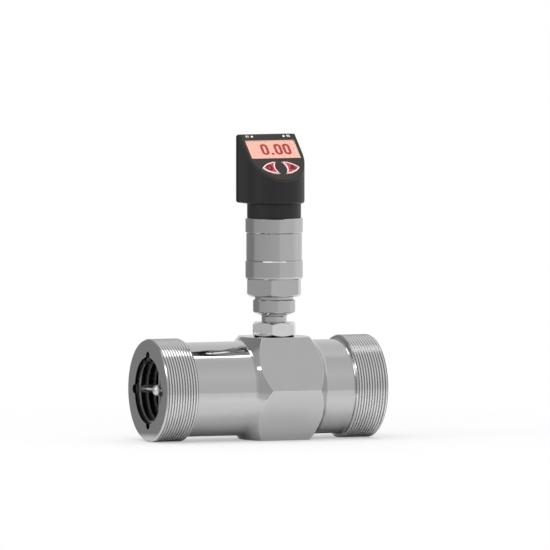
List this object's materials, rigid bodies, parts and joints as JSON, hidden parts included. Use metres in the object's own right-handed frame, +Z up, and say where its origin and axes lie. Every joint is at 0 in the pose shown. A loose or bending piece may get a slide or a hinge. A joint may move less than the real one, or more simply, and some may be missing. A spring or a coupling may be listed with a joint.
{
  "type": "turbine flow meter",
  "caption": "Inline turbine flow meter with threaded steel body, vaned bore, helical turbine, pickup stem and black swivelling display head.",
  "frame": {"origin": "middle of the footprint, on the plane of the body's lower flat", "axes": "+X along the pipe in the flow's direction, -Y towards the display's reader, +Z up along the pickup stem"},
  "size_m": [0.14, 0.0692, 0.1774],
  "materials": {
    "body_steel": "turned satin stainless steel",
    "vane_steel": "milled stainless steel",
    "turbine_steel": "magnetic stainless steel",
    "spring_steel": "spring steel",
    "bearing_steel": "ground hard steel",
    "bearing_bronze": "turned bronze",
    "fitting_steel": "bright turned stainless steel",
    "housing_steel": "satin stainless steel",
    "coil_copper": "wound copper wire",
    "board_green": "glass fibre board",
    "black_plastic": "black moulded plastic",
    "faceplate_film": "dark printed film",
    "window_glass": "clear amber tinted pane",
    "display_lit": "back-lit display",
    "button_red": "red moulded rubber key with pale rim",
    "switch_black": "black plastic",
    "lens_clear": "clear moulded light pipe",
    "seal_rubber": "black rubber",
    "screw_steel": "dark zinc plated steel",
    "connector_metal": "nickel plated brass",
    "pin_gold": "gold plated contact"
  },
  "bodies": {
    "meter": {"amplifier_board": "board_green", "hex_adapter": "fitting_steel", "housing_lower_ring": "housing_steel", "housing_sleeve": "housing_steel", "housing_top_ring": "housing_steel", "inlet_bearing_bush": "bearing_bronze", "inlet_retaining_ring": "spring_steel", "inlet_straightener": "vane_steel", "inlet_thrust_plate": "bearing_steel", "lock_nut": "fitting_steel", "meter_body": "body_steel", "outlet_bearing_bush": "bearing_bronze", "outlet_retaining_ring": "spring_steel", "outlet_straightener": "vane_steel", "outlet_thrust_plate": "bearing_steel", "pickup_coil": "coil_copper", "pickup_magnet": "bearing_steel", "pickup_pole": "bearing_steel", "pickup_stem": "fitting_steel", "union_ring": "fitting_steel"},
    "rotor": {"turbine": "turbine_steel", "turbine_shaft": "bearing_steel"},
    "display_head": {"swivel_neck": "black_plastic", "swivel_seal": "seal_rubber", "swivel_clip": "spring_steel", "head_shell": "black_plastic", "faceplate": "faceplate_film", "display_window": "window_glass", "display_module": "display_lit", "display_board": "board_green", "left_switch": "switch_black", "right_switch": "switch_black", "left_status_lens": "lens_clear", "right_status_lens": "lens_clear", "head_back_cover": "black_plastic", "back_cover_gasket": "seal_rubber", "back_cover_screws": "screw_steel", "connector_shell": "connector_metal", "connector_insert": "switch_black", "connector_pins": "pin_gold", "connector_seal": "seal_rubber", "connector_nut": "connector_metal"},
    "left_key": {"left_button": "button_red"},
    "right_key": {"right_button": "button_red"}
  },
  "joints": [
    {"name": "rotor_spin", "type": "hinge", "parent": "meter", "child": "rotor", "pos_m": [0.01, 0, 0.03], "axis": [1, 0, 0], "continuous": true},
    {"name": "head_swivel", "type": "hinge", "parent": "meter", "child": "display_head", "pos_m": [0.01, 0, 0.1291], "axis": [0, 0, 1], "range_deg": [-165, 165]},
    {"name": "left_key_press", "type": "slide", "parent": "display_head", "child": "left_key", "axis": [0, 0.6747, -0.7381], "range_m": [0, 0.0005], "stiffness_N_per_m": 2000, "springref_m": -0.0003},
    {"name": "right_key_press", "type": "slide", "parent": "display_head", "child": "right_key", "axis": [0, 0.6747, -0.7381], "range_m": [0, 0.0005], "stiffness_N_per_m": 2000, "springref_m": -0.0003}
  ]
}
